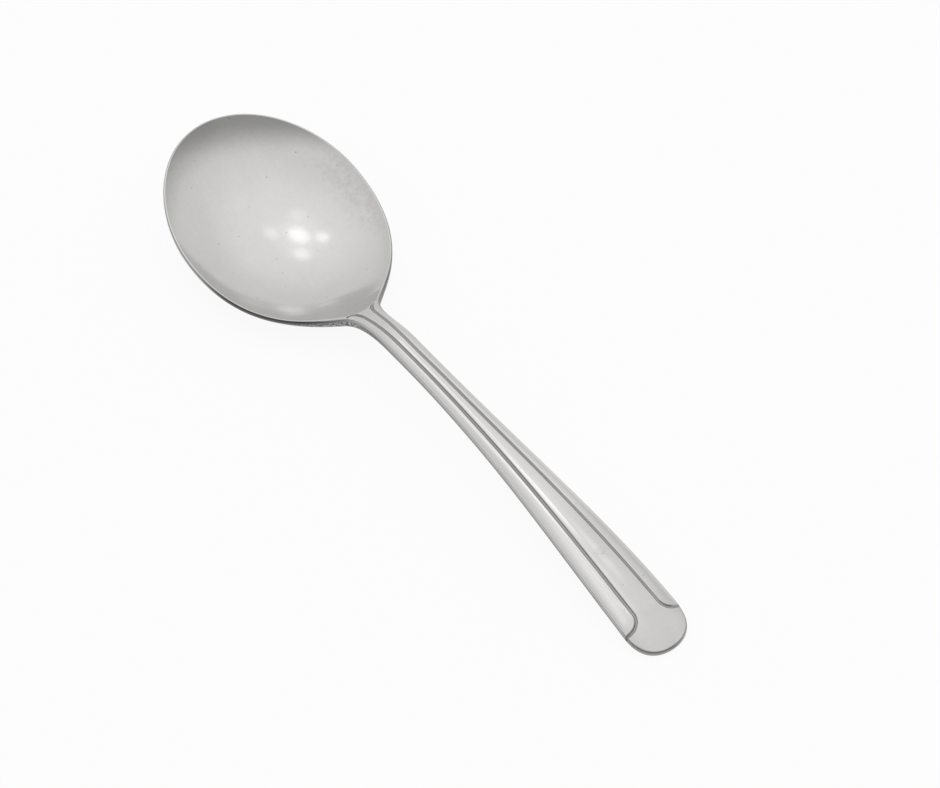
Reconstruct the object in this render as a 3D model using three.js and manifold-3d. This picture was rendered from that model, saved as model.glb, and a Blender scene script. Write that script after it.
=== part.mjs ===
// A round-bowl soup spoon in polished stainless steel, lying at rest.
// Millimetres, +Z up. +X runs from the tip of the bowl to the end of the handle and +Y runs across.
// The bowl's underside and the underside of the handle's end stand on z = 0, and the origin is under the
// middle of the length. The plan below is drawn with x = 0 at the bowl's tip.
// One stamped blank is drawn as two solids, bowl and handle, that meet face to face across the neck.

import * as THREE from 'three';
import { mergeVertices } from 'three/addons/utils/BufferGeometryUtils.js';
import Module from 'manifold-3d';

// Plan of the blank
const LENGTH = 156;
const BOWL_WIDTH = 42.64;
const BOWL_WIDEST_X = 25.86;
const SHOULDER_X = 56.1;
const SHOULDER_WIDTH = 8.75;
const SHOULDER_ANGLE = 43;
const SHOULDER_TO_NECK = 13.95;
const NECK_WIDTH = 5.95;
const HANDLE_END_WIDTH = 13.12;
const HANDLE_END_FLARE = 0.024;
const END_ROUND_LENGTH = 6.9;

const NECK_X = SHOULDER_X + SHOULDER_TO_NECK;
const HANDLE_END_X = LENGTH - END_ROUND_LENGTH;

// Fullness of the plan curves, as the lengths of their handles
const TIP_FULLNESS = 11.72;
const BOWL_FRONT_FULLNESS = 13.46;
const BOWL_BACK_FULLNESS = 19.72;
const SHOULDER_BOWL_FULLNESS = 5.33;
const SHOULDER_NECK_FULLNESS = 3.32;
const NECK_BOWL_FULLNESS = 4.94;
const NECK_HANDLE_FULLNESS = 36.9;
const FLANK_FULLNESS = 27.34;
const END_SIDE_FULLNESS = 5.22;
const END_NOSE_FULLNESS = 3.57;

// Side view: the upper edge dips from the tip to the back of the bowl, arches, and falls to the end
const BOWL_DEPTH = 7.13;
const RIM_TIP_RISE = 6.27;
const RIM_TIP_SLOPE = -0.182;
const DIP_TO_SHOULDER = 10;
const RIM_DIP = 2.6;
const RIM_DIP_SLOPE = -0.014;
const ARCH_TO_NECK = 0.6;
const ARCH_HEIGHT = 9.78;
const END_SLOPE = -0.253;

const RIM_DIP_X = SHOULDER_X - DIP_TO_SHOULDER;
const ARCH_X = NECK_X - ARCH_TO_NECK;

// Thickness of the sheet at its edge, and the share of it that rounds the edge
const RIM_THICKNESS = 1.15;
const SHOULDER_THICKNESS = 2.15;
const HANDLE_THICKNESS = 1.43;
const END_THICKNESS = 1.15;
const EDGE_ROUNDNESS = 0.35;

// Sections: a dished bowl, deeper towards its tip, whose back wall stays steep up to a crease at the neck, and a
// handle crowned with a flat top and steep sides over a slightly hollow back
const BOWL_FULLNESS = 0.15;
const BOWL_LEAN = 0.258;
const BACK_WALL = 0.038;
const BACK_WALL_LENGTH = 3.4;
const CREASE_ROUND = 0.15;
const REST_FLAT_DEPTH = 0.2;
const NECK_CROWN = 0.93;
const HANDLE_CROWN = 2.03;
const CROWN_POWER = 6;
const END_FALL_POWER = 1.3;
const BACK_HOLLOW = 0.35;

// The two engraved grooves of the handle
const GROOVE_WIDTH = 0.72;
const GROOVE_DEPTH = 0.28;
const GROOVE_GAP_NECK = 1.99;
const GROOVE_GAP_END = 5.92;
const GROOVE_TURN_TO_END = 8.54;
const GROOVE_TURN_RADIUS = 2.46;
const GROOVE_START_INSET = 2.08;
const GROOVE_LEAD_IN = 3.83;

const GROOVE_START_X = SHOULDER_X;
const GROOVE_TURN_X = LENGTH - GROOVE_TURN_TO_END;

const STEEL = { color: 0xc5c4c3, roughness: 0.28, metalness: 1 };

// Mesh fineness: stations along each plan curve, points across a section
const STATIONS = { front: 14, back: 20, shoulder: 8, flank: 26, end: 10 };
const ACROSS_TOP = 16;
const ACROSS_BACK = 24;
const EDGE_STEPS = 4;
const GROOVE_STEPS = 44;
const GROOVE_CROWDING = 1.6;
const GROOVE_TURN_STEPS = 6;

const xy = (x, y) => new THREE.Vector2(x, y);
const lerp = THREE.MathUtils.lerp;
const smooth = THREE.MathUtils.smoothstep;

// Half the plan outline, from the bowl's tip along the +Y side to the end of the handle
function outlineCurves() {
  const angle = THREE.MathUtils.degToRad(SHOULDER_ANGLE);
  const fall = xy(Math.cos(angle), -Math.sin(angle));
  const flare = xy(1, HANDLE_END_FLARE).normalize();
  const tip = xy(0, 0);
  const widest = xy(BOWL_WIDEST_X, BOWL_WIDTH / 2);
  const shoulder = xy(SHOULDER_X, SHOULDER_WIDTH / 2);
  const neck = xy(NECK_X, NECK_WIDTH / 2);
  const flank = xy(HANDLE_END_X, HANDLE_END_WIDTH / 2);
  const end = xy(LENGTH, 0);
  const from = (point, direction, length) => point.clone().addScaledVector(direction, length);
  const along = xy(1, 0);
  const across = xy(0, 1);
  const curve = (a, b, c, d) => new THREE.CubicBezierCurve(a, b, c, d);
  return {
    front: curve(tip, from(tip, across, TIP_FULLNESS), from(widest, along, -BOWL_FRONT_FULLNESS), widest),
    back: curve(widest, from(widest, along, BOWL_BACK_FULLNESS),
      from(shoulder, fall, -SHOULDER_BOWL_FULLNESS), shoulder),
    shoulder: curve(shoulder, from(shoulder, fall, SHOULDER_NECK_FULLNESS),
      from(neck, along, -NECK_BOWL_FULLNESS), neck),
    flank: curve(neck, from(neck, along, NECK_HANDLE_FULLNESS), from(flank, flare, -FLANK_FULLNESS), flank),
    end: curve(flank, from(flank, flare, END_SIDE_FULLNESS), from(end, across, END_NOSE_FULLNESS), end),
  };
}

const outline = outlineCurves();

// Direction of a plan curve, from its control points
function direction(curve, t) {
  const part = (a, b, share) => b.clone().sub(a).multiplyScalar(share);
  const { v0, v1, v2, v3 } = curve;
  return part(v0, v1, (1 - t) ** 2).add(part(v1, v2, 2 * t * (1 - t))).add(part(v2, v3, t ** 2))
    .normalize();
}

// Half width of the outline at a given x, by halving the interval on the curve that spans it
function halfWidth(x) {
  const curves = Object.values(outline);
  const curve = curves.find((c) => x <= c.v3.x) ?? curves.at(-1);
  let low = 0;
  let high = 1;
  for (let i = 0; i < 40; i += 1) {
    const middle = (low + high) / 2;
    if (curve.getPoint(middle).x < x) low = middle;
    else high = middle;
  }
  return Math.max(curve.getPoint((low + high) / 2).y, 0);
}

// Cubic between two points with given slopes
function hermite(x, x0, z0, slope0, x1, z1, slope1) {
  const span = x1 - x0;
  const t = (x - x0) / span;
  const back = (1 - t) * (1 - t);
  return z0 * (1 + 2 * t) * back + slope0 * span * t * back
    + z1 * t * t * (3 - 2 * t) + slope1 * span * t * t * (t - 1);
}

// Rim of the bowl measured from its own datum, which is level with RIM_DIP above the dip
const rimShape = (x) => hermite(x, 0, RIM_TIP_RISE, RIM_TIP_SLOPE, RIM_DIP_X, -RIM_DIP, RIM_DIP_SLOPE);

// How far the dish lies under the rim: an egg-shaped bowl, fuller than a paraboloid, that leans to its tip and runs
// out at the neck
function dish(x, y, half) {
  const inside = Math.max(half * half - y * y, 0) / (BOWL_WIDTH * BOWL_WIDTH / 4);
  const lean = 1 - BOWL_LEAN * (x - BOWL_WIDEST_X) / BOWL_WIDEST_X;
  const runOut = 1 - smooth(x, SHOULDER_X, NECK_X);
  return BOWL_DEPTH * lean * runOut * inside * (1 + BOWL_FULLNESS * (1 - inside));
}

// The rim's datum puts the lowest point of the bowl's back just under the table, to be worn flat
function rimDatum() {
  let lowest = Infinity;
  for (let i = 0; i <= 200; i += 1) {
    const x = RIM_DIP_X * i / 200;
    lowest = Math.min(lowest, rimShape(x) - RIM_THICKNESS - dish(x, 0, halfWidth(x)));
  }
  return -REST_FLAT_DEPTH - lowest;
}

const RIM_DATUM = rimDatum();
const END_ROUND = EDGE_ROUNDNESS * END_THICKNESS;

// Height of the sheet's upper edge
function edgeHeight(x) {
  if (x < RIM_DIP_X) return RIM_DATUM + rimShape(x);
  const dip = RIM_DATUM - RIM_DIP;
  if (x < ARCH_X) return hermite(x, RIM_DIP_X, dip, RIM_DIP_SLOPE, ARCH_X, ARCH_HEIGHT, 0);
  return hermite(x, ARCH_X, ARCH_HEIGHT, 0, LENGTH - END_ROUND, END_THICKNESS, END_SLOPE);
}

// Thickness of the sheet at its edge: thickest at the shoulders, where the blank isn't rolled out
function edgeThickness(x) {
  const toShoulder = smooth(x, RIM_DIP_X, SHOULDER_X);
  const toHandle = smooth(x, SHOULDER_X, NECK_X + (NECK_X - SHOULDER_X));
  const toEnd = smooth(x, NECK_X, LENGTH - END_ROUND);
  const handle = lerp(HANDLE_THICKNESS, END_THICKNESS, toEnd);
  return lerp(lerp(RIM_THICKNESS, SHOULDER_THICKNESS, toShoulder), handle, toHandle);
}

// Crown of the handle, as a height over the edge that fades to nothing all round the outline
function crown(x, y, half) {
  const intoEnd = THREE.MathUtils.clamp((x - GROOVE_TURN_X) / (LENGTH - END_ROUND - GROOVE_TURN_X), 0, 1);
  const side = half > 0 ? Math.min(Math.abs(y) / half, 1) : 1;
  const roundOff = (1 - (side ** 2 + side ** CROWN_POWER) / 2) * (1 - intoEnd ** END_FALL_POWER);
  const rise = smooth(x, RIM_DIP_X, NECK_X);
  return lerp(NECK_CROWN, HANDLE_CROWN, smooth(x, NECK_X, HANDLE_END_X)) * rise * roundOff;
}

// The lower of two heights, rounded where they cross
function lower(a, b, round) {
  const overlap = Math.max(round - Math.abs(a - b), 0);
  return Math.min(a, b) - overlap * overlap / (4 * round);
}

// The inside of the bowl climbs its back wall until it meets the handle's crowned face
function topHeight(x, y) {
  const half = halfWidth(x);
  const climb = BACK_WALL * Math.max(x - SHOULDER_X + BACK_WALL_LENGTH, 0) ** 2;
  return edgeHeight(x) + lower(climb - dish(x, y, half), crown(x, y, half), CREASE_ROUND);
}

function backHeight(x, y) {
  const half = halfWidth(x);
  const hollow = BACK_HOLLOW * crown(x, y, half);
  return Math.max(edgeHeight(x) - edgeThickness(x) + hollow - dish(x, y, half), 0);
}

// One closed section at a point of the outline: the top from -Y to +Y, round the edge, and the back again
function section(point, tangent) {
  const outward = xy(-tangent.y, tangent.x);
  const round = EDGE_ROUNDNESS * edgeThickness(point.x);
  const inset = point.clone().addScaledVector(outward, -round);
  inset.y = Math.max(inset.y, 0);
  const top = topHeight(inset.x, inset.y);
  const back = backHeight(inset.x, inset.y);
  const ring = [];
  for (let i = 0; i <= ACROSS_TOP; i += 1) {
    const y = inset.y * (2 * i / ACROSS_TOP - 1);
    ring.push(new THREE.Vector3(inset.x, y, topHeight(inset.x, y)));
  }
  const edge = [];
  for (let i = 1; i < EDGE_STEPS; i += 1) {
    const turn = Math.PI * i / EDGE_STEPS;
    const place = inset.clone().addScaledVector(outward, round * Math.sin(turn));
    const z = (top + back) / 2 + (top - back) / 2 * Math.cos(turn);
    edge.push(new THREE.Vector3(place.x, Math.max(place.y, 0), z));
  }
  ring.push(...edge);
  for (let i = 0; i <= ACROSS_BACK; i += 1) {
    const y = inset.y * (1 - 2 * i / ACROSS_BACK);
    ring.push(new THREE.Vector3(inset.x, y, backHeight(inset.x, y)));
  }
  ring.push(...edge.reverse().map((p) => new THREE.Vector3(p.x, -p.y, p.z)));
  return ring;
}

// Sections along some of the outline's curves
function sections(names) {
  const rings = [];
  names.forEach((name, n) => {
    const curve = outline[name];
    const count = STATIONS[name];
    for (let i = n === 0 ? 0 : 1; i <= count; i += 1) {
      rings.push(section(curve.getPoint(i / count), direction(curve, i / count)));
    }
  });
  return rings;
}

// Merge a triangle list into a closed mesh, without the slivers of no area where a ring closes to a line
function closed(positions, triangles) {
  const loose = new THREE.BufferGeometry();
  loose.setAttribute('position', new THREE.Float32BufferAttribute(positions, 3));
  loose.setIndex(triangles);
  const merged = mergeVertices(loose, 1e-3);
  const kept = [];
  const index = merged.index.array;
  for (let i = 0; i < index.length; i += 3) {
    const [a, b, c] = index.slice(i, i + 3);
    if (a !== b && b !== c && c !== a) kept.push(a, b, c);
  }
  merged.setIndex(kept);
  return merged;
}

// Skin over a run of closed rings, with each end closed by a fan about the middle of its ring
function loft(rings) {
  const size = rings[0].length;
  const points = rings.flat();
  const triangles = [];
  for (let r = 0; r + 1 < rings.length; r += 1) {
    for (let i = 0; i < size; i += 1) {
      const j = (i + 1) % size;
      const a = r * size;
      const b = a + size;
      triangles.push(a + i, b + i, a + j, a + j, b + i, b + j);
    }
  }
  const cap = (ring, base, flip) => {
    const middle = ring.reduce((sum, p) => sum.add(p), new THREE.Vector3()).divideScalar(size);
    const hub = points.push(middle) - 1;
    for (let i = 0; i < size; i += 1) {
      const j = (i + 1) % size;
      triangles.push(hub, base + (flip ? j : i), base + (flip ? i : j));
    }
  };
  cap(rings[0], 0, false);
  cap(rings.at(-1), (rings.length - 1) * size, true);
  return closed(points.flatMap((p) => [p.x, p.y, p.z]), triangles);
}

// Plan path of the +Y groove: out of the shoulder, down the handle, and round to the edge before the end
function groovePath() {
  const gap = (x) => {
    const spread = (2 * halfWidth(x) - NECK_WIDTH) / (HANDLE_END_WIDTH - NECK_WIDTH);
    return lerp(GROOVE_GAP_NECK, GROOVE_GAP_END, spread) / 2;
  };
  const path = [];
  for (let i = 0; i <= GROOVE_STEPS; i += 1) {
    const x = lerp(GROOVE_START_X, GROOVE_TURN_X, (i / GROOVE_STEPS) ** GROOVE_CROWDING);
    const fromShoulder = smooth(x, GROOVE_START_X, GROOVE_START_X + GROOVE_LEAD_IN);
    path.push(xy(x, lerp(halfWidth(x) - GROOVE_START_INSET, gap(x), fromShoulder)));
  }
  const start = path.at(-1);
  for (let i = 1; i <= GROOVE_TURN_STEPS; i += 1) {
    const turn = Math.PI / 2 * i / GROOVE_TURN_STEPS;
    path.push(xy(start.x + GROOVE_TURN_RADIUS * Math.sin(turn),
      start.y + GROOVE_TURN_RADIUS * (1 - Math.cos(turn))));
  }
  const out = path.at(-1);
  path.push(xy(out.x, halfWidth(out.x) + GROOVE_WIDTH));
  return path;
}

// The engraving cutter for one groove, a tapered bar that rises out of the metal at its start
function grooveCutter(mirror) {
  const path = groovePath();
  const slope = GROOVE_WIDTH / 4 / GROOVE_DEPTH;
  const clear = 2 * GROOVE_DEPTH;
  const rings = path.map((point, i) => {
    const ahead = path[Math.min(i + 1, path.length - 1)];
    const behind = path[Math.max(i - 1, 0)];
    const heading = ahead.clone().sub(behind).normalize();
    const across = xy(-heading.y, heading.x);
    const surface = topHeight(point.x, Math.min(point.y, halfWidth(point.x)));
    const sunk = GROOVE_DEPTH * smooth(point.x, GROOVE_START_X, GROOVE_START_X + GROOVE_LEAD_IN / 2);
    const corner = (offset, z) => {
      const place = point.clone().addScaledVector(across, offset);
      return new THREE.Vector3(place.x, mirror * place.y, surface + z);
    };
    const floor = GROOVE_WIDTH / 4;
    const mouth = floor + slope * (clear + GROOVE_DEPTH);
    const lift = GROOVE_DEPTH - sunk;
    return [corner(-mouth, clear + lift), corner(mouth, clear + lift), corner(floor, lift - GROOVE_DEPTH),
      corner(-floor, lift - GROOVE_DEPTH)];
  });
  return loft(mirror > 0 ? rings : rings.map((ring) => ring.reverse()));
}

const wasm = await Module();
wasm.setup();

function solid(geometry) {
  return new wasm.Manifold(new wasm.Mesh({
    numProp: 3,
    vertProperties: geometry.attributes.position.array,
    triVerts: new Uint32Array(geometry.index.array),
  }));
}

function engrave(geometry, cutters) {
  const cut = cutters.reduce((body, cutter) => body.subtract(cutter), solid(geometry)).getMesh();
  const result = new THREE.BufferGeometry();
  result.setAttribute('position', new THREE.BufferAttribute(cut.vertProperties, 3));
  result.setIndex(new THREE.BufferAttribute(cut.triVerts, 1));
  result.computeVertexNormals();
  return result;
}

const cutters = [1, -1].map((mirror) => solid(grooveCutter(mirror)));
const spoon = new THREE.Group();
spoon.name = 'spoon';
spoon.position.x = -LENGTH / 2;

// The bowl, with the shoulders that narrow it to the neck
const bowl = new THREE.Mesh(engrave(loft(sections(['front', 'back', 'shoulder'])), cutters),
  new THREE.MeshStandardMaterial(STEEL));
bowl.name = 'bowl';
spoon.add(bowl);

// The handle, from the neck over the arch to the rounded end
const handle = new THREE.Mesh(engrave(loft(sections(['flank', 'end'])), cutters),
  new THREE.MeshStandardMaterial(STEEL));
handle.name = 'handle';
spoon.add(handle);

export default spoon;
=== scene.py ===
# A round-bowl soup spoon in polished stainless steel, lying on its back on a pale table.
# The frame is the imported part's: metres, +X from the bowl's tip to the end of the handle, +Z up.

import bmesh
import bpy
import numpy as np
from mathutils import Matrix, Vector


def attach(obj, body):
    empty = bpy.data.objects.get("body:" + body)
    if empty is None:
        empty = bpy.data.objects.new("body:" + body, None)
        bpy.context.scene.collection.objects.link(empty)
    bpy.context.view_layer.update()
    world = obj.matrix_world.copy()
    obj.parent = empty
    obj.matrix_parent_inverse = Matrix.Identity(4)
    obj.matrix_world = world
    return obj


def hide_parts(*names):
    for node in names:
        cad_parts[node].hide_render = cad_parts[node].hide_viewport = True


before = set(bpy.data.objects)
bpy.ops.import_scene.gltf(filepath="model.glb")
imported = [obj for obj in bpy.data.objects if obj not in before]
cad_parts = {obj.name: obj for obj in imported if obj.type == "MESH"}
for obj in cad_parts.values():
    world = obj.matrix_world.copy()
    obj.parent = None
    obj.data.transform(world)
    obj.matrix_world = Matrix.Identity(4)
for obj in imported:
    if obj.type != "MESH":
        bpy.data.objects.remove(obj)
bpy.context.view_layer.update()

# The blank
# One sheet of stainless steel, cut to the plan of the whole spoon and rolled thin towards the bowl.
# Bowl and handle are stamped from it in one blow, and its cut edge is tumbled round. Sizes are in
# millimetres, with x = 0 at the bowl's tip.
MM = 0.001
LENGTH = 156.0
BOWL_WIDTH = 42.64
BOWL_WIDEST_X = 25.86
SHOULDER_X = 56.1
SHOULDER_WIDTH = 8.75
SHOULDER_ANGLE = 43.0
NECK_X = 70.05
NECK_WIDTH = 5.95
HANDLE_END_X = 149.1
HANDLE_END_WIDTH = 13.12
HANDLE_END_FLARE = 0.024

TIP_FULLNESS = 11.72
BOWL_FRONT_FULLNESS = 13.46
BOWL_BACK_FULLNESS = 19.72
SHOULDER_BOWL_FULLNESS = 5.33
SHOULDER_NECK_FULLNESS = 3.32
NECK_BOWL_FULLNESS = 4.94
NECK_HANDLE_FULLNESS = 36.9
FLANK_FULLNESS = 27.34
END_SIDE_FULLNESS = 5.22
END_NOSE_FULLNESS = 3.57
OUTLINE_POINTS = 2000

RIM_THICKNESS = 1.15
SHOULDER_THICKNESS = 2.15
HANDLE_THICKNESS = 1.43
END_THICKNESS = 1.15
EDGE_ROUNDNESS = 0.35
END_ROUND = EDGE_ROUNDNESS * END_THICKNESS


def plan_curves():
    """Half the outline as five cubic curves, from the bowl's tip to the end of the handle."""
    fall_angle = np.radians(SHOULDER_ANGLE)
    fall = np.array([np.cos(fall_angle), -np.sin(fall_angle)])
    flare = np.array([1.0, HANDLE_END_FLARE]) / np.hypot(1.0, HANDLE_END_FLARE)
    along = np.array([1.0, 0.0])
    across = np.array([0.0, 1.0])
    tip = np.array([0.0, 0.0])
    widest = np.array([BOWL_WIDEST_X, BOWL_WIDTH / 2])
    shoulder = np.array([SHOULDER_X, SHOULDER_WIDTH / 2])
    neck = np.array([NECK_X, NECK_WIDTH / 2])
    flank = np.array([HANDLE_END_X, HANDLE_END_WIDTH / 2])
    end = np.array([LENGTH, 0.0])
    return {
        "front": (tip, tip + TIP_FULLNESS * across, widest - BOWL_FRONT_FULLNESS * along, widest),
        "back": (
            widest,
            widest + BOWL_BACK_FULLNESS * along,
            shoulder - SHOULDER_BOWL_FULLNESS * fall,
            shoulder,
        ),
        "shoulder": (
            shoulder,
            shoulder + SHOULDER_NECK_FULLNESS * fall,
            neck - NECK_BOWL_FULLNESS * along,
            neck,
        ),
        "flank": (neck, neck + NECK_HANDLE_FULLNESS * along, flank - FLANK_FULLNESS * flare, flank),
        "end": (flank, flank + END_SIDE_FULLNESS * flare, end + END_NOSE_FULLNESS * across, end),
    }


CURVES = plan_curves()


def curve_point(curve, t):
    a, b, c, d = curve
    t = np.asarray(t)[..., None]
    s = 1 - t
    return s**3 * a + 3 * s * s * t * b + 3 * s * t * t * c + t**3 * d


def curve_direction(curve, t):
    a, b, c, d = curve
    t = np.asarray(t)[..., None]
    s = 1 - t
    slope = s * s * (b - a) + 2 * s * t * (c - b) + t * t * (d - c)
    return slope / np.linalg.norm(slope, axis=-1, keepdims=True)


OUTLINE_SHARES = np.linspace(0, 1, OUTLINE_POINTS)
OUTLINE = np.concatenate([curve_point(curve, OUTLINE_SHARES) for curve in CURVES.values()])


def half_width(x):
    return np.interp(x, OUTLINE[:, 0], OUTLINE[:, 1])


# The bowl
# An egg-shaped dish pressed into the wide end of the blank, deeper towards its tip. Its rim falls from
# the tip to the back, and its back wall stays steep until it meets the face of the handle in a crease
# across the shoulders.
BOWL_DEPTH = 7.13
BOWL_FULLNESS = 0.15
BOWL_LEAN = 0.258
RIM_TIP_RISE = 6.27
RIM_TIP_SLOPE = -0.182
RIM_DIP_X = 46.1
RIM_DIP = 2.6
RIM_DIP_SLOPE = -0.014
RIM_POINTS = 400
REST_FLAT_DEPTH = 0.2
BACK_WALL = 0.038
BACK_WALL_LENGTH = 3.4
BACK_WALL_X = SHOULDER_X - BACK_WALL_LENGTH
CREASE_ROUND = 0.15


def smooth(x, low, high):
    """0 below low, 1 above high, and a smooth rise between."""
    t = np.clip((x - low) / (high - low), 0, 1)
    return t * t * (3 - 2 * t)


def hermite(x, x0, z0, slope0, x1, z1, slope1):
    """Cubic between two points with given slopes."""
    span = x1 - x0
    t = (x - x0) / span
    rest = (1 - t) ** 2
    lift = z0 * (1 + 2 * t) * rest + z1 * t * t * (3 - 2 * t)
    return lift + span * (slope0 * t * rest + slope1 * t * t * (t - 1))


def rim_shape(x):
    return hermite(x, 0, RIM_TIP_RISE, RIM_TIP_SLOPE, RIM_DIP_X, -RIM_DIP, RIM_DIP_SLOPE)


def dish(x, y):
    """Depth of the bowl under the level of its rim."""
    inside = np.maximum(half_width(x) ** 2 - y * y, 0) / (BOWL_WIDTH / 2) ** 2
    lean = 1 - BOWL_LEAN * (x - BOWL_WIDEST_X) / BOWL_WIDEST_X
    run_out = 1 - smooth(x, SHOULDER_X, NECK_X)
    return BOWL_DEPTH * lean * run_out * inside * (1 + BOWL_FULLNESS * (1 - inside))


def rim_datum():
    """Height of the rim that puts the bowl's back just under the table, to be worn flat there."""
    x = np.linspace(0, RIM_DIP_X, RIM_POINTS)
    return -REST_FLAT_DEPTH - np.min(rim_shape(x) - RIM_THICKNESS - dish(x, 0))


RIM_DATUM = rim_datum()


# The handle
# The narrow end of the same blank, arched from the neck down to the table, crowned on its face and
# slightly hollow behind. Two grooves are rolled into the face: they open out of the crease at the
# shoulders, run beside the edges and turn out through them before the rounded end.
ARCH_X = 69.45
ARCH_HEIGHT = 9.78
END_SLOPE = -0.253
NECK_CROWN = 0.93
HANDLE_CROWN = 2.03
CROWN_POWER = 6.0
END_FALL_POWER = 1.3
BACK_HOLLOW = 0.35

GROOVE_WIDTH = 0.72
GROOVE_DEPTH = 0.28
GROOVE_WALL = (0.22 * GROOVE_WIDTH, 0.56 * GROOVE_WIDTH)
GROOVE_GAP_NECK = 1.99
GROOVE_GAP_END = 5.92
GROOVE_START_X = (SHOULDER_X - 0.7, SHOULDER_X + 0.3)
GROOVE_START_INSET = 2.08
GROOVE_RUN_X = SHOULDER_X + 3.83
GROOVE_TURN_X = 147.46
GROOVE_TURN_RADIUS = 2.46
GROOVE_END_X = GROOVE_TURN_X + GROOVE_TURN_RADIUS
LEFT_STRAY = 0.28
LEFT_STRAY_X = (SHOULDER_X, NECK_X + 14)
RIGHT_STRAY = 0.2
RIGHT_STRAY_X = ((SHOULDER_X + 1, SHOULDER_X + 4), (SHOULDER_X + 6, NECK_X - 3))
RIGHT_RETURN = 0.14
RIGHT_RETURN_X = ((NECK_X - 6, NECK_X - 1), (NECK_X + 2, NECK_X + 12))
LEAD_START = (55.6, -4.6)
LEAD_END = (56.0, -2.75)
LEAD_WIDTH = (0.26, 0.5)
LEAD_WALL = (0.2, 0.6)
LEAD_DEPTH = 0.08
PIT_PLACE = (57.15, 1.46)
PIT_WALL = (0.2, 0.5)
SINK_X = ((NECK_X, NECK_X + 20), (GROOVE_TURN_X - 4, GROOVE_TURN_X))
SINK_DEPTH = (0.012, 0.022)
SINK_REACH = (0.27, 0.34)
SLOPE_STEP = 0.01
TINY = 1e-6


def lerp(a, b, share):
    return a + (b - a) * share


def hump(x, rise, fall):
    """1 between two smooth steps, 0 before and after them."""
    return smooth(x, *rise) * (1 - smooth(x, *fall))


def lower(a, b, round_off):
    """The lower of two heights, rounded where they cross."""
    overlap = np.maximum(round_off - np.abs(a - b), 0)
    return np.minimum(a, b) - overlap**2 / (4 * round_off)


def edge_height(x):
    """Height of the sheet's upper edge along the whole spoon."""
    rim = RIM_DATUM + rim_shape(x)
    dip = RIM_DATUM - RIM_DIP
    climb = hermite(x, RIM_DIP_X, dip, RIM_DIP_SLOPE, ARCH_X, ARCH_HEIGHT, 0)
    fall = hermite(x, ARCH_X, ARCH_HEIGHT, 0, LENGTH - END_ROUND, END_THICKNESS, END_SLOPE)
    return np.where(x < RIM_DIP_X, rim, np.where(x < ARCH_X, climb, fall))


def edge_thickness(x):
    """The sheet at its edge: thickest at the shoulders, where the blank isn't rolled out."""
    handle = lerp(HANDLE_THICKNESS, END_THICKNESS, smooth(x, NECK_X, LENGTH - END_ROUND))
    bowl = lerp(RIM_THICKNESS, SHOULDER_THICKNESS, smooth(x, RIM_DIP_X, SHOULDER_X))
    return lerp(bowl, handle, smooth(x, SHOULDER_X, 2 * NECK_X - SHOULDER_X))


def crown(x, y):
    """Height of the face over the edge: a flat top with steep sides, fading all round the outline."""
    half = np.maximum(half_width(x), TINY)
    into_end = np.clip((x - GROOVE_TURN_X) / (LENGTH - END_ROUND - GROOVE_TURN_X), 0, 1)
    side = np.minimum(np.abs(y) / half, 1)
    round_off = (1 - (side**2 + side**CROWN_POWER) / 2) * (1 - into_end**END_FALL_POWER)
    body = lerp(NECK_CROWN, HANDLE_CROWN, smooth(x, NECK_X, HANDLE_END_X))
    return body * smooth(x, RIM_DIP_X, NECK_X) * round_off


def groove_line(x):
    """How far each groove runs from the middle of the handle."""
    half = half_width(x)
    widened = (2 * half - NECK_WIDTH) / (HANDLE_END_WIDTH - NECK_WIDTH)
    run = lerp(GROOVE_GAP_NECK, GROOVE_GAP_END, widened) / 2
    return lerp(half - GROOVE_START_INSET, run, smooth(x, SHOULDER_X, GROOVE_RUN_X))


def groove_stray(x, y):
    """How far the rollers strayed outwards from the grooves' lines beside the neck."""
    left = LEFT_STRAY * (1 - smooth(x, *LEFT_STRAY_X))
    right = RIGHT_STRAY * hump(x, *RIGHT_STRAY_X) - RIGHT_RETURN * hump(x, *RIGHT_RETURN_X)
    return np.where(y < 0, left, right)


def groove_distance(x, y):
    """Distance from the middle of the nearer groove: its run, its turn, and its way out to the edge."""
    line = groove_line(np.minimum(x, GROOVE_TURN_X)) + groove_stray(x, y)
    slope = (groove_line(x + SLOPE_STEP) - groove_line(x - SLOPE_STEP)) / (2 * SLOPE_STEP)
    out = np.abs(y)
    run = np.abs(out - line) / np.sqrt(1 + slope**2)
    centre = groove_line(GROOVE_TURN_X) + GROOVE_TURN_RADIUS
    turn = np.abs(np.hypot(x - GROOVE_TURN_X, out - centre) - GROOVE_TURN_RADIUS)
    way_out = np.abs(x - GROOVE_END_X)
    past = np.where(out < centre, turn, way_out)
    return np.where(x < GROOVE_TURN_X, run, past)


def groove_lead(x, y):
    """1 in the fine line that sweeps in from the shoulder's edge to the start of the left groove."""
    start = np.array(LEAD_START)
    way = np.array(LEAD_END) - start
    share = np.clip(((x - start[0]) * way[0] + (y - start[1]) * way[1]) / (way @ way), 0, 1)
    off = np.hypot(x - start[0] - share * way[0], y - start[1] - share * way[1])
    width = lerp(*LEAD_WIDTH, share)
    return 1 - smooth(off, LEAD_WALL[0] * width, LEAD_WALL[1] * width)


def groove_cut(x, y):
    """1 on the floor of a groove, 0 on the face beside it. The right groove starts in a small pit."""
    run = smooth(x, *GROOVE_START_X) * (1 - smooth(groove_distance(x, y), *GROOVE_WALL))
    pit = 1 - smooth(np.hypot(x - PIT_PLACE[0], y - PIT_PLACE[1]), *PIT_WALL)
    return np.maximum(np.maximum(run, pit), groove_lead(x, y))


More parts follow.
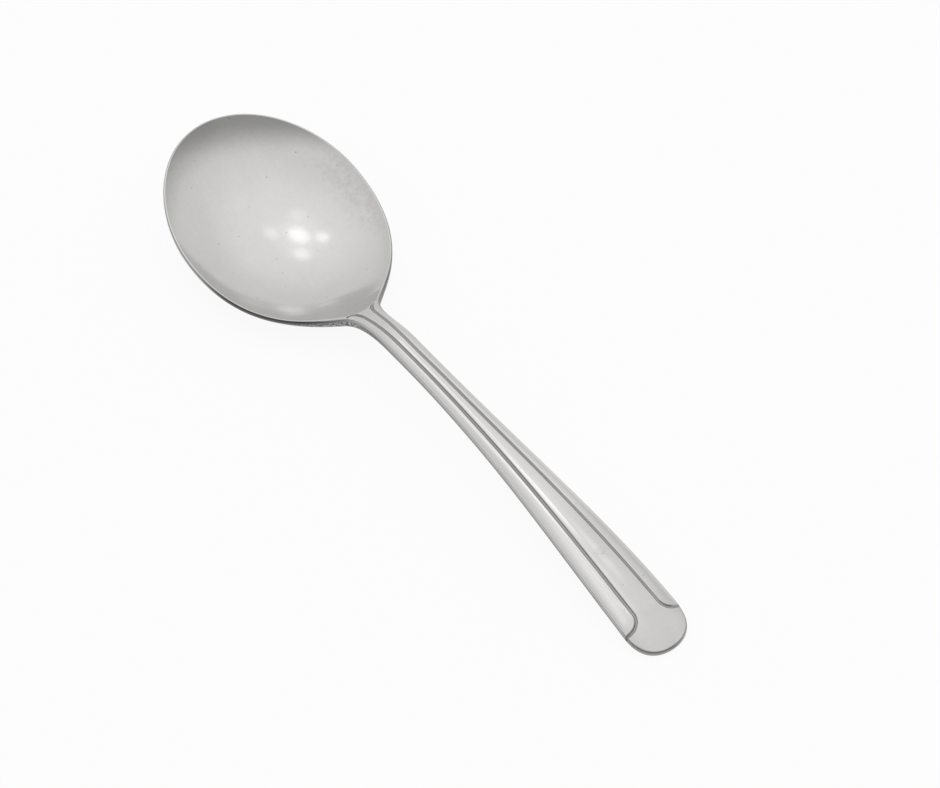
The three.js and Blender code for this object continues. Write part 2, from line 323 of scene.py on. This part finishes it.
def groove_sink(x, y):
    """The face is drawn down about a tenth of a millimetre on both sides of a rolled groove."""
    half = np.minimum(half_width(x), HANDLE_END_WIDTH / 2)
    inside = np.abs(y) < groove_line(x)
    reach = half * np.where(inside, *SINK_REACH) + TINY
    depth = half * np.where(inside, *SINK_DEPTH)
    return hump(x, *SINK_X) * depth * (1 - smooth(groove_distance(x, y), 0, reach))


def face_height(x, y):
    """The inside of the bowl climbs its back wall until it meets the crowned, grooved handle."""
    wall = BACK_WALL * np.maximum(x - BACK_WALL_X, 0) ** 2
    face = crown(x, y) - GROOVE_DEPTH * groove_cut(x, y) - groove_sink(x, y)
    pressed = lower(wall - dish(x, y), face, CREASE_ROUND)
    return edge_height(x) + pressed - LEAD_DEPTH * groove_lead(x, y)


def back_height(x, y):
    """The back follows the face at the sheet's thickness, and is worn flat where the bowl rests."""
    sheet = edge_height(x) - edge_thickness(x)
    return np.maximum(sheet + BACK_HOLLOW * crown(x, y) - dish(x, y), 0)


# The skin of bowl and handle
# One unbroken polished surface on the real spoon, so both pieces are cut from one run of sections that
# stand along the outline. Each section has its points crowded at the grooves and towards the edge, and
# the sections are crowded where the face has a crease or a turn.
MIDDLE_POINTS = 18
GROOVE_POINTS = 12
STRIP_POINTS = 26
EDGE_POINTS = 13
BACK_POINTS = 22
EDGE_CROWDING = 1.7
EDGE_SQUARENESS = 0.55
EDGE_SLOPE_STEP = 0.05
EDGE_STEEPEST = 0.6
PLAIN_MIDDLE = (0.42, 0.52)
GROOVE_MARGIN = 0.6 * GROOVE_WIDTH
GROOVED_X = ((SHOULDER_X - 5, SHOULDER_X - 2), (GROOVE_END_X + 1, GROOVE_END_X + 3))
MARKS = ("groove", "edge", "drop")
OTHER_SIDE = (1, -1, 1, 1, 1, 1)

SHARE_POINTS = 4000
LAST_STEP_SHARE = 0.3
TIP_RINGS = 70
TIP_CROWDING = 1.3
END_RINGS = 50
BOWL_STEP = 0.5
CREASE_STEP = 0.08
NECK_STEP = 0.25
STEM_STEP = 0.6
TURN_STEP = 0.06
WAY_OUT_STEP = 0.05
STEM_X = NECK_X + 4
TURN_X = GROOVE_TURN_X - 1
NOSE_X = GROOVE_END_X + 1
MERGE_DISTANCE = 2e-6


def crowded(start, stop, count):
    """Shares from start to stop, closer together towards stop."""
    return stop - (stop - start) * np.linspace(1, 0, count) ** EDGE_CROWDING


def across_shares(x, reach):
    """Where a section's points stand on one side, from the middle out to the inset edge."""
    line = groove_line(np.minimum(x, GROOVE_TURN_X))
    grooved = hump(x, *GROOVED_X)
    inner = lerp(PLAIN_MIDDLE[0], (line - GROOVE_MARGIN) / reach, grooved)
    outer = lerp(PLAIN_MIDDLE[1], (line + GROOVE_MARGIN) / reach, grooved)
    middle = np.linspace(0, inner, MIDDLE_POINTS, endpoint=False)
    groove = np.linspace(inner, outer, GROOVE_POINTS, endpoint=False)
    return np.concatenate([middle, groove, crowded(outer, 1, STRIP_POINTS)])


def rows(x, y, z, *marks):
    """Points with their marks: how deep in a groove, how far round the edge, and how far down it."""
    return np.stack(np.broadcast_arrays(x, y, z, *marks), 1)


def section(point, direction):
    """One closed ring: the face from -Y to +Y, round the edge, the back again, and the other edge."""
    outward = np.array([-direction[1], direction[0]])
    round_off = EDGE_ROUNDNESS * edge_thickness(point[0])
    inset = point - round_off * outward
    inset[1] = max(inset[1], 0)
    x, reach = inset
    shares = across_shares(x, max(reach, TINY))
    y = reach * np.concatenate([-shares[:0:-1], shares])
    face = rows(x, y, face_height(x, y), groove_cut(x, y), 0, 0)
    shares = crowded(0, 1, BACK_POINTS)
    y = reach * np.concatenate([shares[:0:-1], -shares])
    back = rows(x, y, back_height(x, y), 0, 1, 1)

    top = face[-1, 2]
    notched = face[-1, 3]
    bottom = back[0, 2]
    inner = inset - EDGE_SLOPE_STEP * outward
    steepness = (face_height(inner[0], max(inner[1], 0)) - top) / EDGE_SLOPE_STEP
    fall = np.clip(steepness, 0, EDGE_STEEPEST) * (1 - notched)
    turn = np.linspace(0, np.pi, EDGE_POINTS + 2)[1:-1]
    out = round_off * np.sin(turn) ** EDGE_SQUARENESS
    rise = np.sign(np.cos(turn)) * np.abs(np.cos(turn)) ** EDGE_SQUARENESS
    place = inset + out[:, None] * outward
    z = (top + bottom) / 2 + (top - bottom) / 2 * rise - fall * out * (1 + np.cos(turn)) / 2
    edge_y = np.maximum(place[:, 1], 0)
    edge = rows(place[:, 0], edge_y, z, notched * (rise > 0), turn / np.pi, (1 - rise) / 2)
    return np.concatenate([face, edge, back, edge[::-1] * OTHER_SIDE])


def rounded_run(name, t):
    """Sections at the given shares of one curve of the outline."""
    curve = CURVES[name]
    return [section(p, d) for p, d in zip(curve_point(curve, t), curve_direction(curve, t))]


def share_at(name, x):
    """Shares at which one curve of the outline passes the given places along the spoon."""
    fine = np.linspace(0, 1, SHARE_POINTS)
    return np.interp(x, curve_point(CURVES[name], fine)[:, 0], fine)


def stations(name, *stops):
    """Sections from the first stop to the last, each stretch at its own spacing."""
    runs = []
    for (start, step), (stop, _) in zip(stops, stops[1:]):
        runs.append(np.arange(start, stop - LAST_STEP_SHARE * step, step))
    x = np.concatenate(runs + [[stops[-1][0]]])
    return rounded_run(name, share_at(name, x))


def skin(name, rings, cut_ring):
    """A mesh over a run of rings, closed flat where it is cut, with the marks as attributes."""
    rings = np.array(rings)
    count, size, columns = rings.shape
    flat = rings.reshape(-1, columns)
    places = (flat[:, :3] - [LENGTH / 2, 0, 0]) * MM
    ring = np.arange(count - 1)[:, None] * size
    here = np.arange(size)[None, :]
    after = (here + 1) % size
    corners = [ring + here, ring + size + here, ring + size + after, ring + after]
    mesh = bpy.data.meshes.new(name)
    mesh.from_pydata(places.tolist(), [], np.stack(corners, -1).reshape(-1, 4).tolist())
    for column, label in enumerate(MARKS, 3):
        layer = mesh.attributes.new(label, "FLOAT", "POINT")
        layer.data.foreach_set("value", flat[:, column].astype(np.float32))
    shell = bmesh.new()
    shell.from_mesh(mesh)
    bmesh.ops.remove_doubles(shell, verts=shell.verts, dist=MERGE_DISTANCE)
    for quad in shell.faces:
        quad.smooth = True
    cap = places.reshape(count, size, 3)[cut_ring]
    if cut_ring < 0:
        cap = cap[::-1]
    shell.faces.new([shell.verts.new(corner) for corner in cap])
    shell.to_mesh(mesh)
    shell.free()
    piece = bpy.data.objects.new(name, mesh)
    bpy.context.scene.collection.objects.link(piece)
    return piece


bowl_stops = ((BOWL_WIDEST_X, BOWL_STEP), (BACK_WALL_X, CREASE_STEP), (SHOULDER_X, 0))
shoulder_stops = ((SHOULDER_X, CREASE_STEP), (GROOVE_RUN_X, NECK_STEP), (NECK_X, 0))
stem_stops = ((NECK_X, NECK_STEP), (STEM_X, STEM_STEP), (TURN_X, TURN_STEP), (HANDLE_END_X, 0))
end_stops = ((HANDLE_END_X, WAY_OUT_STEP), (NOSE_X, 0))
bowl_rings = rounded_run("front", np.linspace(0, 1, TIP_RINGS) ** TIP_CROWDING)[:-1]
bowl_rings += stations("back", *bowl_stops)[:-1]
bowl_rings += stations("shoulder", *shoulder_stops)
handle_rings = stations("flank", *stem_stops)[:-1]
handle_rings += stations("end", *end_stops)[:-1]
handle_rings += rounded_run("end", np.linspace(share_at("end", NOSE_X), 1, END_RINGS))
bowl = skin("bowl_skin", bowl_rings, -1)
handle = skin("handle_skin", handle_rings, 0)
for piece, node in ((bowl, "bowl"), (handle, "handle")):
    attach(piece, "root")
    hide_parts(node)


# The steel
# Stainless steel with a soft tumbled polish: mirror-like but hazy, with fine scratches and pits, and dull
# grey in the grooves, where no polish reaches. The cut edge keeps a rough dark skin, torn bright at the
# shoulders, with painted shade over it that changes along the spoon, round the edge and from side to
# side.
# Use has left a stain in the bowl and a smudge on the handle. Painted shade darkens patches on the bowl's
# far and near walls, at its tip and back wall and on the handle's face near its end, and a painted
# highlight lightens a strip beside the handle's left edge.
STEEL_COLOUR = (0.659, 0.654, 0.646, 1)
# Also the colour of the painted shade patches.
TARNISH_AND_SHADE_COLOUR = (0.553, 0.546, 0.535, 1)
# The painted highlight on the handle's left strip.
STRIP_HIGHLIGHT_COLOUR = (0.79, 0.785, 0.777, 1)
SPECK_COLOUR = (0.18, 0.17, 0.16, 1)
GROOVE_COLOUR = (0.312, 0.304, 0.294, 1)
# The cut edge's rough dark skin, and the painted shade on it.
EDGE_SKIN_AND_SHADE_COLOUR = (0.03, 0.03, 0.03, 1)
TORN_COLOUR = (0.58, 0.58, 0.58, 1)

CLOUD_TARNISH = 0.35
MOTTLE_TARNISH = 0.35
SCRATCH_TARNISH = 0.25
SCRATCH_SOFTNESS = 0.06
STAIN_TARNISH = 0.6
STAIN_X = ((13.0, 25.0), (33.0, 45.0))
STAIN_Y = (12.5, 18.0)
STAIN_DRAW = (0.40, 0.64)
# Painted shade: darker patches on the bowl's far and near walls, at its tip and back wall, and on the
# handle's face near its end.
BOWL_RING_HALF_LENGTH = 28.0
FAR_WALL_SHADE = 0.4
FAR_WALL_SHADE_RING = (0.74, 0.93)
FAR_WALL_SHADE_X = ((6.0, 18.0), (46.0, 54.0))
FAR_WALL_SHADE_Y = (6.0, 13.0)
NEAR_WALL_SHADE = 0.4
NEAR_WALL_SHADE_RING = (0.68, 0.84)
NEAR_WALL_SHADE_X = (24.0, 34.0)
NEAR_WALL_SHADE_Y = (-12.0, -6.0)
TIP_SHADE = 0.8
TIP_SHADE_X = (1.0, 5.5)
TIP_SHADE_Y = (-1.0, 5.0)
BACK_SHADE = 0.45
BACK_SHADE_X = ((46.0, 53.0), (57.0, 61.0))
HANDLE_SHADE = 0.5
HANDLE_SHADE_X = ((116.0, 130.0), (146.0, 154.0))
HANDLE_SHADE_Y = (-3.0, -1.0)

SPECK_SHARE = 0.8
SPECK_CORE = 0.5
FACE_END = (0.0, 0.05)
SMUDGE_SHARE = 0.25
SMUDGE_PLACE = (133.4 - LENGTH / 2, -0.2, 7.5)
SMUDGE_REACH = (0.2, 1.7)
SMUDGE_EVENNESS = 0.5
SMUDGE_DRAW = (0.35, 0.6)
# A painted highlight on a strip beside the handle's left edge, towards the end.
STRIP_HIGHLIGHT_SHARE = 0.85
STRIP_HIGHLIGHT_X = ((106.0, 146.0), (147.0, 150.0))
STRIP_HIGHLIGHT_MIDDLE_X = 136.0
STRIP_HIGHLIGHT_SPLAY = 0.05
STRIP_HIGHLIGHT_Y = ((-5.7, -4.7), (-4.7, -3.5))
DULL_GROOVE = (0.15, 0.55)
DULL_GRAIN = 0.5
NOISE_MEAN = 0.5
RIGHT_GROOVE_GLOSS = 0.12
RIGHT_GROOVE_Y = (0.0, 1.0)
END_GROOVE_GLOSS = 0.15
END_GROOVE_X = (112.0, 124.0)

CUT_EDGE = ((0.02, 0.14), (0.86, 0.98))
# Painted shade on the cut edge, with its rough skin: how it changes round the edge, along the spoon and
# from side to side, lighter on the far side except at the shoulders.
UPPER_EDGE_DARK_LOSS = 0.55
UPPER_EDGE_DARK_FADE = (0.4, 0.75)
LOWER_EDGE_DARK_RISE = (-0.02, 0.46)
FAR_SIDE_EDGE_DARK = 0.6
FAR_SIDE_Y = (1.0, 3.0)
HANDLE_EDGE_X = ((50.0, 58.5), (147.0, 152.0))
FAR_SIDE_LIGHTER = 0.5
FAR_SIDE_LIGHTER_Y = (0.0, 4.0)
SHOULDER_KEPT_DARK = 0.25
SHOULDER_KEPT_DARK_X = ((44.0, 52.0), (56.0, 62.0))
TIP_BLACK = 0.40
BACK_BLACK_GAIN = 0.49
BACK_BLACK_X = (26.0, 38.0)
HANDLE_BLACK_LOSS = 0.36
HANDLE_BLACK_X = (54.0, 74.0)
TORN_SHARE = 0.85
TORN_X = ((47.0, 54.0), (56.0, 64.0))
TORN_DROP = (0.15, 0.45)
TORN_DRAW = (0.48, 0.55)

POLISH_ROUGHNESS = 0.09
MOTTLE_ROUGHNESS = 0.04
STAIN_ROUGHNESS = 0.05
SCRATCH_ROUGHNESS = 0.05
GROOVE_ROUGHNESS = 0.25
EDGE_ROUGHNESS = 0.3
RIPPLE_GRAIN = 0.15
RIPPLE_STRENGTH = 0.06
RIPPLE_HEIGHT = 0.0001


class Wire:
    """A socket of a shader tree. Sums on wires add Math nodes, and node() adds any other node."""

    def __init__(self, tree, socket=None):
        self.tree = tree
        self.socket = socket

    def node(self, kind, settings=None, sockets=None, output=0):
        made = self.tree.nodes.new(kind)
        for name, value in (settings or {}).items():
            setattr(made, name, value)
        for name, value in (sockets or {}).items():
            if isinstance(value, Wire):
                self.tree.links.new(value.socket, made.inputs[name])
            else:
                made.inputs[name].default_value = value
        return Wire(self.tree, made.outputs[output])

    def maths(self, operation, a, b):
        return self.node("ShaderNodeMath", {"operation": operation}, {0: a, 1: b})

    def __add__(self, other):
        return self.maths("ADD", self, other)

    def __radd__(self, other):
        return self.maths("ADD", other, self)

    def __sub__(self, other):
        return self.maths("SUBTRACT", self, other)

    def __rsub__(self, other):
        return self.maths("SUBTRACT", other, self)

    def __mul__(self, other):
        return self.maths("MULTIPLY", self, other)

    def __rmul__(self, other):
        return self.maths("MULTIPLY", other, self)

    def step(self, low, high):
        """0 below low, 1 above high, and a smooth rise between."""
        return self.node(
            "ShaderNodeMapRange",
            {"interpolation_type": "SMOOTHSTEP"},
            {"Value": self, "From Min": low, "From Max": high},
        )

    def hump(self, rise, fall):
        """1 between two smooth steps, 0 before and after them."""
        return self.step(*rise) * (1 - self.step(*fall))

    def noise(self, place, scale, detail=2.0, rough=0.5):
        return self.node(
            "ShaderNodeTexNoise",
            {},
            {"Vector": place, "Scale": scale, "Detail": detail, "Roughness": rough},
        )

    def blend(self, share, a, b):
        """Mix of two colours."""
        return self.node("ShaderNodeMix", {"data_type": "RGBA"}, {0: share, 6: a, 7: b}, 2)


steel = bpy.data.materials.new("polished_steel")
steel.use_nodes = True
shader = steel.node_tree.nodes["Principled BSDF"]
shader.inputs["Metallic"].default_value = 1.0
wires = Wire(steel.node_tree)
metres = wires.node("ShaderNodeTexCoord", output="Object")
place = wires.node("ShaderNodeVectorMath", {"operation": "SCALE"}, {0: metres, "Scale": 1 / MM})
along = wires.node("ShaderNodeSeparateXYZ", {}, {0: place}, "X") + LENGTH / 2
across = wires.node("ShaderNodeSeparateXYZ", {}, {0: place}, "Y")
groove, edge, drop = (
    wires.node("ShaderNodeAttribute", {"attribute_name": label}, output="Fac") for label in MARKS
)
cloud = wires.noise(place, scale=0.22, detail=3.0)
mottle = wires.noise(place, scale=1.1, detail=4.0, rough=0.6)
grain = wires.noise(place, scale=4.5)
stain_cloud = wires.noise(place, scale=0.55, detail=6.0, rough=0.75)
tears = wires.noise(place, scale=3.2, detail=1.0)


def speck_mask(scale, size, rarity):
    """Small dark pits, one in each cell that draws a high number."""
    cells = {"voronoi_dimensions": "2D"}
    sockets = {"Vector": place, "Scale": scale}
    distance = wires.node("ShaderNodeTexVoronoi", cells, sockets, "Distance")
    draw = wires.node("ShaderNodeTexVoronoi", cells, sockets, "Color")
    chance = wires.node("ShaderNodeSeparateColor", {}, {0: draw}, "Red")
    return (1 - distance.step(SPECK_CORE * size * scale, size * scale)) * chance.step(rarity, 1.0)


def scratch_mask(turn, length, width, rarity):
    """Fine straight scratches that all run one way."""
    rotation = (0, 0, np.radians(turn))
    stretch = (1 / length, 1 / width, 1 / length)
    sockets = {"Vector": place, "Rotation": rotation, "Scale": stretch}
    stretched = wires.node("ShaderNodeMapping", {}, sockets)
    return wires.noise(stretched, scale=1.0, detail=1.0).step(rarity, rarity + SCRATCH_SOFTNESS)


specks = speck_mask(scale=0.25, size=0.15, rarity=0.62)
scratches = scratch_mask(turn=20, length=9.0, width=0.16, rarity=0.68)
scratches = scratches + scratch_mask(turn=-48, length=7.0, width=0.16, rarity=0.70)
stain = along.hump(*STAIN_X) * across.step(*STAIN_Y) * stain_cloud.step(*STAIN_DRAW)

# Painted shade in patches on the bowl and the handle.
off_along = (along - BOWL_WIDEST_X) * (1 / BOWL_RING_HALF_LENGTH)
off_across = across * (2 / BOWL_WIDTH)
from_middle = off_along * off_along + off_across * off_across
far_wall_shade = from_middle.step(*FAR_WALL_SHADE_RING) * along.hump(*FAR_WALL_SHADE_X) * across.step(*FAR_WALL_SHADE_Y)
near_wall_shade = from_middle.step(*NEAR_WALL_SHADE_RING) * along.step(*NEAR_WALL_SHADE_X)
near_wall_shade = near_wall_shade * (1 - across.step(*NEAR_WALL_SHADE_Y))
tip_shade = (1 - along.step(*TIP_SHADE_X)) * (1 - across.step(*TIP_SHADE_Y))
back_shade = along.hump(*BACK_SHADE_X)
handle_shade = along.hump(*HANDLE_SHADE_X) * across.step(*HANDLE_SHADE_Y)
painted_shade = FAR_WALL_SHADE * far_wall_shade + NEAR_WALL_SHADE * near_wall_shade * (1 - back_shade) + TIP_SHADE * tip_shade
painted_shade = painted_shade + BACK_SHADE * back_shade + HANDLE_SHADE * handle_shade
# Tarnish, scratches and the stain are the steel's own; the painted shade joins them in the same darker
# colour.
tarnish_and_shade = CLOUD_TARNISH * cloud + MOTTLE_TARNISH * mottle + SCRATCH_TARNISH * scratches
tarnish_and_shade = tarnish_and_shade + STAIN_TARNISH * stain + painted_shade

from_smudge = wires.node(
    "ShaderNodeVectorMath",
    {"operation": "DISTANCE"},
    {0: place, 1: SMUDGE_PLACE},
    "Value",
)
smudge = SMUDGE_EVENNESS + (1 - SMUDGE_EVENNESS) * mottle.step(*SMUDGE_DRAW)
smudge = smudge * (1 - from_smudge.step(*SMUDGE_REACH))
# The painted highlight beside the handle's left edge.
strip = across + STRIP_HIGHLIGHT_SPLAY * (along - STRIP_HIGHLIGHT_MIDDLE_X)
strip_highlight = along.hump(*STRIP_HIGHLIGHT_X) * strip.hump(*STRIP_HIGHLIGHT_Y)
dull = (groove + DULL_GRAIN * (grain - NOISE_MEAN)).step(*DULL_GROOVE)
dull = dull * (1 - RIGHT_GROOVE_GLOSS * across.step(*RIGHT_GROOVE_Y))
dull = dull * (1 - END_GROOVE_GLOSS * along.step(*END_GROOVE_X))

cut_edge = edge.hump(*CUT_EDGE)
# The cut edge's dark skin with painted shade over it.
upper_edge_dark = 1 - UPPER_EDGE_DARK_LOSS * edge.step(*UPPER_EDGE_DARK_FADE)
lower_edge_dark = drop.step(*LOWER_EDGE_DARK_RISE) + FAR_SIDE_EDGE_DARK * across.step(*FAR_SIDE_Y)
edge_skin_and_shade = cut_edge * (upper_edge_dark + along.hump(*HANDLE_EDGE_X) * (lower_edge_dark - upper_edge_dark))
# Less painted shade on the far side's edge, except at the shoulders.
far_side_lighter = across.step(*FAR_SIDE_LIGHTER_Y) * (FAR_SIDE_LIGHTER - SHOULDER_KEPT_DARK * along.hump(*SHOULDER_KEPT_DARK_X))
# How dark the painted edge is along the spoon: darkest at the bowl's back.
black = TIP_BLACK + BACK_BLACK_GAIN * along.step(*BACK_BLACK_X)
black = black - HANDLE_BLACK_LOSS * along.step(*HANDLE_BLACK_X)
torn = cut_edge * along.hump(*TORN_X) * drop.step(*TORN_DROP) * tears.step(*TORN_DRAW)

# Tarnish with the painted shade patches.
colour = wires.blend(tarnish_and_shade, STEEL_COLOUR, TARNISH_AND_SHADE_COLOUR)
colour = wires.blend(SPECK_SHARE * specks * (1 - edge.step(*FACE_END)), colour, SPECK_COLOUR)
colour = wires.blend(SMUDGE_SHARE * smudge, colour, GROOVE_COLOUR)
# A painted highlight on the handle's left strip.
colour = wires.blend(STRIP_HIGHLIGHT_SHARE * strip_highlight, colour, STRIP_HIGHLIGHT_COLOUR)
colour = wires.blend(dull, colour, GROOVE_COLOUR)
# The edge's dark skin and painted shade.
colour = wires.blend(black * (1 - far_side_lighter) * edge_skin_and_shade, colour, EDGE_SKIN_AND_SHADE_COLOUR)
colour = wires.blend(TORN_SHARE * torn, colour, TORN_COLOUR)
roughness = POLISH_ROUGHNESS + MOTTLE_ROUGHNESS * mottle + STAIN_ROUGHNESS * stain
roughness = roughness + SCRATCH_ROUGHNESS * scratches + GROOVE_ROUGHNESS * groove
roughness = roughness + EDGE_ROUGHNESS * cut_edge
ripple = wires.node(
    "ShaderNodeBump",
    {},
    {"Height": mottle + RIPPLE_GRAIN * grain, "Strength": RIPPLE_STRENGTH, "Distance": RIPPLE_HEIGHT},
)
for result, name in ((colour, "Base Color"), (roughness, "Roughness"), (ripple, "Normal")):
    steel.node_tree.links.new(result.socket, shader.inputs[name])
for piece in (bowl, handle):
    piece.data.materials.append(steel)

# The table
# A plain pale sheet that the spoon lies on, big enough to fill every view. The camera and the polished
# steel see it nearly white, and it keeps a faint shadow of the spoon.
TABLE_HALF = 6.0
PAPER_COLOUR = (0.96, 0.96, 0.96, 1)
WHITE = (1, 1, 1, 1)
WHITE_SHARE = 0.9
WHITE_RAYS = ("Is Camera Ray", "Is Glossy Ray", "Is Transmission Ray")

floor_signs = ((-1, -1), (1, -1), (1, 1), (-1, 1))
floor_corners = [(x * TABLE_HALF, y * TABLE_HALF, 0) for x, y in floor_signs]
floor_mesh = bpy.data.meshes.new("table")
floor_mesh.from_pydata(floor_corners, [], [(0, 1, 2, 3)])
floor = bpy.data.objects.new("table", floor_mesh)
bpy.context.scene.collection.objects.link(floor)
paper = bpy.data.materials.new("pale_paper")
paper.use_nodes = True
paper.node_tree.nodes.clear()
paper_wires = Wire(paper.node_tree)
camera_ray, glossy_ray, clear_ray = (
    paper_wires.node("ShaderNodeLightPath", output=name) for name in WHITE_RAYS
)
seen = paper_wires.maths("MINIMUM", camera_ray + glossy_ray + clear_ray, 1.0)
matt = paper_wires.node("ShaderNodeBsdfDiffuse", {}, {"Color": PAPER_COLOUR})
white = paper_wires.node("ShaderNodeEmission", {}, {"Color": WHITE, "Strength": 1.0})
mixed = paper_wires.node("ShaderNodeMixShader", {}, {0: WHITE_SHARE * seen, 1: matt, 2: white})
surface = paper.node_tree.nodes.new("ShaderNodeOutputMaterial").inputs["Surface"]
paper.node_tree.links.new(mixed.socket, surface)
floor_mesh.materials.append(paper)

# The light
# A wide dome of white cloth opposite the camera, open to a dim room that is darkest low down behind the
# camera. A broad glow, five soft round lamps and a halo round the main one show through the cloth. Each
# has the way to it, its radius in degrees and the light that it adds.
DOME_AXIS = (-0.624, 0.181, 0.760)
DOME_EDGE = 0.27
DOME_SOFTNESS = 0.14
ROOM = 0.415
CLOTH = 0.862
CLOTH_RISE = 0.080
LAMPS = {
    "glow": ((-0.286, 0.244, 0.927), 50.0, 0.160),
    "halo": ((-0.344, 0.176, 0.922), 17.0, 0.09),
    "main": ((-0.344, 0.176, 0.922), 6.7, 0.51),
    "right": ((-0.460, 0.031, 0.887), 4.8, 0.42),
    "left": ((-0.220, 0.368, 0.904), 4.6, 0.20),
    "near": ((-0.493, 0.285, 0.822), 5.4, 0.31),
    "far": ((-0.175, 0.026, 0.984), 6.0, 0.13),
}
LAMP_CORE = 0.15
DIM_SIDE = (0.612, -0.790, 0.0)
DIM_SIDE_EDGE = (-0.10, 0.75)
DIM_HEIGHT = (0.20, 0.63)
DIM_SHARE = 0.4

world = bpy.data.worlds.new("studio")
bpy.context.scene.world = world
world.use_nodes = True
world_wires = Wire(world.node_tree)
heading = world_wires.node("ShaderNodeTexCoord", output="Generated")


def facing(axis):
    """Cosine of the angle between the way a ray goes and an axis."""
    sockets = {0: heading, 1: axis}
    return world_wires.node("ShaderNodeVectorMath", {"operation": "DOT_PRODUCT"}, sockets, "Value")


height = world_wires.node("ShaderNodeSeparateXYZ", {}, {0: heading}, "Z")
light = CLOTH + CLOTH_RISE * height
for axis, radius, amount in LAMPS.values():
    rim = np.cos(np.radians(radius))
    core = np.cos(np.radians(LAMP_CORE * radius))
    light = light + amount * facing(axis).step(rim, core)
dome = facing(DOME_AXIS).step(DOME_EDGE - DOME_SOFTNESS, DOME_EDGE + DOME_SOFTNESS)
dim = DIM_SHARE * facing(DIM_SIDE).step(*DIM_SIDE_EDGE) * (1 - height.step(*DIM_HEIGHT))
light = (ROOM + dome * (light - ROOM)) * (1 - dim)
backdrop = world.node_tree.nodes["Background"]
backdrop.inputs["Color"].default_value = WHITE
world.node_tree.links.new(light.socket, backdrop.inputs["Strength"])

# The camera
# It looks down on the spoon from beyond the handle's near side, from 0.9 m away.
AZIMUTH = np.radians(52.755)
ELEVATION = np.radians(50.568)
DISTANCE = 0.9
TARGET = Vector((0.008937, 0.003732, 0.007805))
PIXELS_PER_METRE = 5039
PICTURE_WIDTH = 940
SENSOR_WIDTH = 36.0

level = np.cos(ELEVATION)
towards = Vector((np.sin(AZIMUTH) * level, -np.cos(AZIMUTH) * level, np.sin(ELEVATION)))
lens = bpy.data.cameras.new("camera")
lens.sensor_fit = "HORIZONTAL"
lens.sensor_width = SENSOR_WIDTH
lens.lens = SENSOR_WIDTH * PIXELS_PER_METRE * DISTANCE / PICTURE_WIDTH
camera = bpy.data.objects.new("camera", lens)
bpy.context.scene.collection.objects.link(camera)
camera.location = TARGET + DISTANCE * towards
camera.rotation_euler = towards.to_track_quat("Z", "Y").to_euler()
bpy.context.scene.camera = camera
bpy.context.scene.view_settings.view_transform = "Standard"
